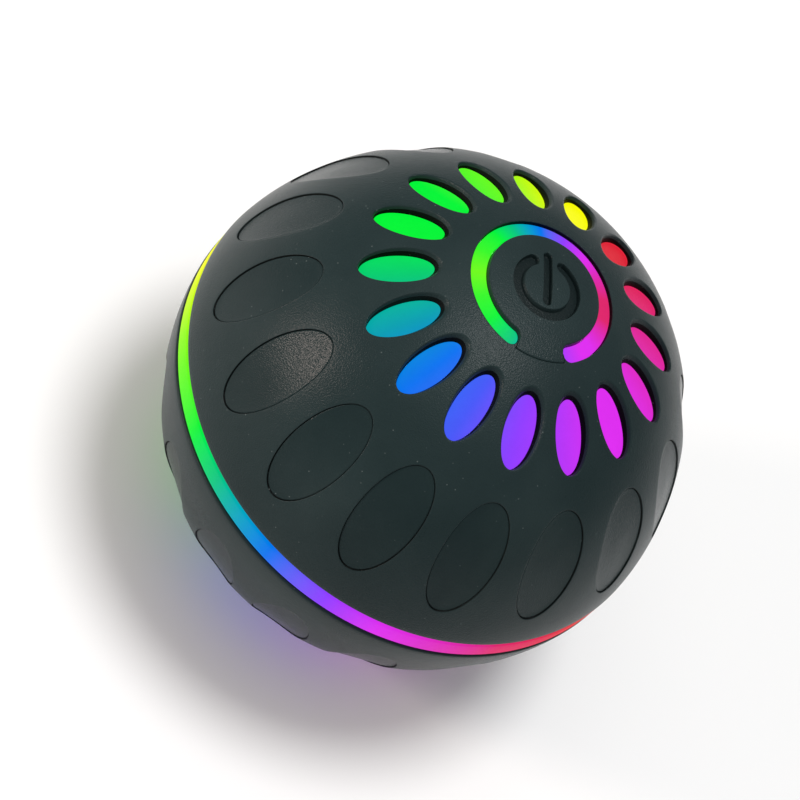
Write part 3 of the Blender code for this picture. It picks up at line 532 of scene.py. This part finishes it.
    # the lip at the equator
    f = 0.34
    end = 90.0 - math.degrees(math.asin((LIP_Z + f) / 32.5))
    prof = [(skin(c) * math.sin(math.radians(c)), skin(c) * math.cos(math.radians(c))) for c in np.linspace(C3, end, 7)]
    r0, z0 = prof[-1]
    prof += [(r0 - f * (1 - math.cos(v)), z0 - (z0 - LIP_Z) * math.sin(v)) for v in np.radians([18, 36, 54, 72, 90])]
    r1 = math.sqrt(R_IN ** 2 - LIP_Z ** 2)
    prof += [((prof[-1][0] + r1) / 2, LIP_Z), (r1, LIP_Z)]
    prof += [(R_IN * math.sin(math.radians(c)), R_IN * math.cos(math.radians(c))) for c in np.linspace(90.0 - math.degrees(math.asin(LIP_Z / R_IN)), C3, 3)[1:]]
    turned_rows(prof)
    obj = net.build(name, COVER_FINISHES_AND_PAINTED_SHADE, "ball", sharp=62, mirror=mirror)
    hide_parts(node)
    return obj


cover_piece("top_cover_skin", "upper_cover", False)
cover_piece("bottom_cover_skin", "lower_cover", True)


# ------------------------------------------------------------------ lit windows
def window_lenses(name, mirror):
    net = Net()
    t = np.linspace(0, 2 * math.pi, 72, endpoint=False)
    gap, edge = 0.03, 0.06
    for k in range(SECTORS):
        a0 = -90.0 + STEP * k
        tan = math.tan(math.radians(LEAN))
        level = lambda xy: (R - WIN_DEPTH) / np.cos(np.linalg.norm(xy, axis=-1) / R) - R    # a flat face, square to the radius
        middle = lambda drop: np.array([(WIN_DEPTH + drop) * tan, 0.0])

        def at(s, inset, drop):
            rim = ellipse(WIN_A - gap - inset, WIN_B - gap - inset, t)
            x, h = rim[:, 0].copy(), np.full(len(t), -WIN_DEPTH)
            for _ in range(4):
                rim[:, 0] = x - (h - drop) * tan
                h = level(rim)
            xy = rim * s + (1 - s) * middle(drop)
            return on_ball(xy, WIN_C, a0, level(xy) - drop)

        face = [at(s, edge, 0.0) for s in (0.15, 0.4, 0.65, 0.85, 1.0)]
        face += [at(1.0, edge * (1 - math.sin(v)), edge * (1 - math.cos(v))) for v in np.radians([30, 60, 90])]
        face += [at(1.0, 0.0, d) for d in (0.5, 1.2)]
        net.rows(np.array(face))
        net.fan(face[0], on_ball(middle(0.0), WIN_C, a0, level(middle(0.0))))
        net.fan(face[-1], on_ball(middle(1.2), WIN_C, a0, level(middle(1.2)) - 1.2))
    obj = net.build(name, (WINDOW_GLOW,), "ball", sharp=70, mirror=mirror)
    return obj


window_lenses("top_window_lenses", False)
window_lenses("bottom_window_lenses", True)


# ------------------------------------------------------------------ ring of light at the equator
def light_ring():
    net = Net()
    az = np.linspace(0, 2 * math.pi, 320, endpoint=False)
    half, low, out, f = 1.20, 1.34, 32.36, 0.2
    prof = [(30.3, half)] + [(r, half) for r in (31.2, out - f)]
    prof += [(out - f + f * math.sin(v), half - f + f * math.cos(v)) for v in np.radians([22, 45, 68, 90])]
    prof += [(out + 0.03, 0.5), (out + 0.04, 0.0), (out + 0.03, -0.5)]
    prof += [(out - f + f * math.cos(v), -low + f - f * math.sin(v)) for v in np.radians([0, 22, 45, 68, 90])]
    prof += [(31.2, -low), (30.3, -low), (30.3, -0.6), (26.9, -0.6), (26.9, 0.6), (30.3, 0.6)]
    p = np.array(prof + prof[:1])
    net.rows(np.stack([p[:, :1] * np.cos(az), p[:, :1] * np.sin(az), p[:, 1:] * np.ones_like(az)], -1))
    obj = net.build("equator_light_ring", (RING_GLOW,), "ball", sharp=50)
    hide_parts("light_ring")


light_ring()


# ------------------------------------------------------------------ glowing arc round the button
def button_arc():
    net = Net()
    tip = math.degrees(ARC_HALF / ARC_MID)           # the round ends
    q = np.radians(np.linspace(0, 90, 13))
    ends = [(ARC_END + tip * (1 - math.cos(v)), ARC_HALF * math.sin(v)) for v in q]
    middle = [(a, ARC_HALF) for a in np.linspace(ARC_END + tip, 360 - ARC_END - tip, 150)[1:-1]]
    stations = ends + middle + [(360 - a, w) for a, w in reversed(ends)]
    f = 0.13
    rows = []
    for a, w in stations:
        az = math.radians(-90.0 + a)
        w = max(w, 1e-4)
        g = min(f, w)
        section = [(-w, 29.98), (-w, 30.7)]
        section += [(-w + g * (1 - math.cos(v)), ARC_TOP - f + f * math.sin(v)) for v in np.radians([0, 30, 60, 90])]
        section += [(x * (w - g), ARC_TOP) for x in (-0.5, 0.0, 0.5)]
        section += [(w - g * (1 - math.cos(v)), ARC_TOP - f + f * math.sin(v)) for v in np.radians([90, 60, 30, 0])]
        section += [(w, 30.7), (w, 29.98), (0.0, 29.98)]
        rows.append([((ARC_MID + x) * math.cos(az), (ARC_MID + x) * math.sin(az), math.sqrt(r * r - (ARC_MID + x) ** 2)) for x, r in section])
    net.rows(np.array(rows))
    obj = net.build("button_arc_light", (ARC_GLOW,), "ball", sharp=50, weld=4e-7)
    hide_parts("button_light_arc")


button_arc()


# ------------------------------------------------------------------ button with its engraved sign
def smooth(x):
    x = np.clip(x, 0.0, 1.0)
    return x * x * (3 - 2 * x)


def sign_depth(x, y):
    """How deep the power sign is cut at a point on the button: an open circle and a bar."""
    r = np.hypot(x, y)
    off = np.abs(np.degrees(np.arctan2(x, y)))
    gap, rc, hw = 30.0, 3.72, 0.66
    ring = np.abs(r - rc) - hw
    ex, ey = rc * math.sin(math.radians(gap)), rc * math.cos(math.radians(gap))
    cap = np.hypot(np.abs(x) - ex, y - ey) - hw
    ring = np.where(off < gap, cap, ring)
    bar = np.hypot(x, y - np.clip(y, -2.0, 4.2)) - 0.54
    deep = 0.68 * smooth(0.5 - ring / 0.14)
    slot = 0.74 * smooth(0.5 - bar / 0.13)
    return np.maximum(deep, slot)


def capped_disc(name, node, body, edge, detail, rings, mirror, columns, finish=SILICONE, f=0.16, r_top=R, r_low=30.6):
    """A disc of the cover's own skin. edge gives its radius at each azimuth, detail its relief."""
    net = Net()
    az = np.radians(np.array(columns))
    outer = np.array([edge(c) for c in columns])
    keep = 6.0
    rows = []
    for r in rings:
        rr = np.full_like(outer, r) if r <= keep else keep + (outer - f - keep) * (r - keep) / (rings[-1] - keep)
        rows.append((rr, np.zeros_like(rr)))
    rows += [(outer - f + f * math.sin(v), np.full_like(outer, -f * (1 - math.cos(v)))) for v in np.radians([22, 45, 68, 90])]
    grid = []
    for rr, h in rows:
        x, y = rr * np.cos(az), rr * np.sin(az)
        z = np.sqrt(r_top ** 2 - rr ** 2) + h - detail(x, y)
        grid.append(np.stack([x, y, z], -1))
    net.rows(np.array(grid))
    net.fan(grid[0], [0, 0, r_top - float(detail(np.zeros(1), np.zeros(1))[0])])
    rim = grid[-1]
    low = []
    for s in (1.0, 0.75, 0.5, 0.25, 0.06):
        rr = outer * s
        low.append(np.stack([rr * np.cos(az), rr * np.sin(az), np.sqrt(r_low ** 2 - rr ** 2)], -1))
    net.rows(np.array([rim, rim * 0.6 + low[0] * 0.4, low[0]]))
    net.rows(np.array(low))
    net.fan(low[-1], [0, 0, r_low])
    obj = net.build(name, (finish,), body, sharp=62, mirror=mirror, weld=4e-7)
    if finish is ENGRAVED_WITH_PAINTED_SHADE:
        # painted shade: each point's cut value darkens the sign's grooves by their depth
        co = np.zeros(len(obj.data.vertices) * 3)
        obj.data.vertices.foreach_get("co", co)
        co = co.reshape(-1, 3) / MM
        depth = np.clip(detail(co[:, 0], co[:, 1]) / 0.6, 0, 1) * (co[:, 2] > r_low + 0.3)
        obj.data.attributes.new("cut", "FLOAT", "POINT").data.foreach_set("value", (0.52 * depth).astype(np.float32))
    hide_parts(node)
    return obj


def button_edge(az):
    off = abs((az + 90.0 + 180.0) % 360.0 - 180.0)
    tip = ARC_END + math.degrees(ARC_HALF / ARC_MID)
    clear = ARC_HALF + ARC_CLEAR
    near = tip - math.degrees(clear / ARC_MID)
    inner = ARC_MID - clear
    if off <= near - 0.25:
        return TAB
    if off < tip:
        d = math.radians(tip - off) * ARC_MID
        return ARC_MID - math.sqrt(max(0.0, clear ** 2 - d ** 2))
    return inner


columns = sorted(set([round(v, 4) for v in np.arange(0, 360, 1.0)] + [round((-90 + s * v) % 360, 4) for s in (1, -1) for v in np.arange(18.0, 30.0, 0.22)]))
button_rings = list(np.arange(0.1, 5.3, 0.075)) + list(np.arange(5.4, 7.0, 0.2))
capped_disc("power_button_face", "power_button", "button", button_edge, sign_depth, button_rings, False, columns, ENGRAVED_WITH_PAINTED_SHADE)


def cap_edge(az):
    off = math.radians((az + 90.0 + 180.0) % 360.0 - 180.0)
    reach = 1.6 ** 2 - (9.9 * math.sin(off)) ** 2
    if abs(off) < 0.5 and reach > 0:
        return min(9.5, 9.9 * math.cos(off) - math.sqrt(reach))
    return 9.5


def cap_relief(x, y):
    """A shallow thumb dish beside the notch and a raised bead inside the cap's edge."""
    r = np.hypot(x, y)
    bead = -0.12 * smooth(1 - np.abs(r - 7.6) / 0.45)
    thumb = 0.28 * smooth(1 - np.hypot(x / 3.0, (y + 5.2) / 1.5))
    return bead + thumb


cap_columns = sorted(set([round(v, 4) for v in np.arange(0, 360, 2.0)] + [round((-90 + v) % 360, 4) for v in np.arange(-10.0, 10.01, 0.4)]))
# the bottom half is the top half turned over about X, so -Y on it is written as +Y here
capped_disc("port_cap_face", "port_cap", "cap", lambda az: cap_edge(-az), lambda x, y: cap_relief(x, -y),
            list(np.arange(0.3, 9.2, 0.3)), True, cap_columns)

# ------------------------------------------------------------------ finishes of the parts inside
STEEL = metal("steel", (0.62, 0.62, 0.64))
LOOKS = {
    "lens": plastic("frosted_shell", (0.62, 0.70, 0.66), rough=0.36),
    "chassis": plastic("white_chassis", (0.68, 0.68, 0.65), rough=0.45),
    "gear_plastic": plastic("acetal", (0.80, 0.76, 0.64), rough=0.34),
    "steel": STEEL,
    "weight_metal": metal("die_cast_zinc", (0.42, 0.42, 0.44), rough=0.5, cast=True),
    "brass": metal("brass", (0.78, 0.57, 0.24), rough=0.25),
    "board": board_look(),
    "chip": plastic("moulded_black", (0.022, 0.022, 0.024), variation=0.2, rough=0.5),
    "led_body": plastic("led_white", (0.82, 0.80, 0.70), rough=0.3),
    "cell": cell_look(),
    "foam": foam_look(),
    "wire_red": plastic("red_insulation", (0.55, 0.02, 0.02), rough=0.35),
    "wire_black": plastic("black_insulation", (0.018, 0.018, 0.02), variation=0.2, rough=0.35),
    "silicone": SILICONE,
}
for part in frame["record"]["subparts"]:
    node = frame["nodes"][part["node"]]
    look = LOOKS[part["material_slot"]]
    if node.material_slots:
        for s in node.material_slots:
            s.material = look
    else:
        node.data.materials.append(look)

# ------------------------------------------------------------------ floor, light, camera
floor_mesh = bpy.data.meshes.new("floor")
floor_mesh.from_pydata([(-3, -3, -0.0321), (3, -3, -0.0321), (3, 3, -0.0321), (-3, 3, -0.0321)], [], [(0, 1, 2, 3)])
floor = bpy.data.objects.new("floor", floor_mesh)
scene.collection.objects.link(floor)
pale = Look("pale_floor", specular=0.2)
pale.colour(pale.mix(pale.noise(8.0, 3.0), (0.94, 0.94, 0.94), (0.97, 0.97, 0.97)))
pale.roughness(0.75)
floor_mesh.materials.append(pale.mat)

world = bpy.data.worlds.new("studio")
scene.world = world
world.use_nodes = True

view = Vector((math.sin(math.radians(-35.2)) * math.cos(math.radians(50.6)),
               -math.cos(math.radians(-35.2)) * math.cos(math.radians(50.6)), math.sin(math.radians(50.6))))
up = (Vector((0, 0, 1)) - view * view.z).normalized()
side = view.cross(up)
roll = math.radians(44.4)
cam_x = up * math.cos(roll) - side * math.sin(roll)
cam_y = up * math.sin(roll) + side * math.cos(roll)

# an even white room, brighter towards the photograph's top
nt = world.node_tree
toward = nt.nodes.new("ShaderNodeVectorMath")
toward.operation = "DOT_PRODUCT"
toward.inputs[1].default_value = (cam_y * 0.95 - cam_x * 0.30).normalized()
nt.links.new(nt.nodes.new("ShaderNodeTexCoord").outputs["Generated"], toward.inputs[0])
level = nt.nodes.new("ShaderNodeMapRange")
for key, value in (("From Min", -1.0), ("From Max", 1.0), ("To Min", 0.28), ("To Max", 0.35)):
    level.inputs[key].default_value = value
nt.links.new(toward.outputs["Value"], level.inputs["Value"])
nt.links.new(level.outputs["Result"], nt.nodes["Background"].inputs["Strength"])
nt.nodes["Background"].inputs["Color"].default_value = (1.0, 1.0, 1.0, 1.0)

camera = bpy.data.cameras.new("camera")
camera.sensor_width = 36.0
camera.lens = 176.4
camera.shift_x, camera.shift_y = -23.4 / 800, 8.2 / 800
camera.clip_start, camera.clip_end = 0.01, 20.0
cam = bpy.data.objects.new("camera", camera)
scene.collection.objects.link(cam)
m = Matrix((cam_x, cam_y, view)).transposed().to_4x4()
m.translation = view * (15 * R * MM)
cam.matrix_world = m
scene.camera = cam


def softbox(name, right, above, towards, size, power, colour=(1, 1, 1)):
    """An area light placed as the photograph is seen: right, above and towards the camera, in metres."""
    place = cam_x * right + cam_y * above + view * towards
    lamp = bpy.data.lights.new(name, "AREA")
    lamp.shape = "DISK"
    lamp.size = size
    lamp.energy = power
    lamp.color = colour
    obj = bpy.data.objects.new(name, lamp)
    scene.collection.objects.link(obj)
    obj.matrix_world = Matrix.Translation(place) @ place.to_track_quat("Z", "Y").to_matrix().to_4x4()
    return obj


softbox("key_light", -0.41, 0.195, 0.30, 0.10, 1.55, (1.0, 0.84, 0.76))
for name, size, power, height in (("overhead_light", 0.28, 3.6, 0.8), ("fill_light", 1.2, 2.4, 0.9)):
    lamp = bpy.data.lights.new(name, "AREA")
    lamp.shape, lamp.size, lamp.energy = "DISK", size, power
    overhead = bpy.data.objects.new(name, lamp)
    scene.collection.objects.link(overhead)
    overhead.location = (0.0, 0.0, height)
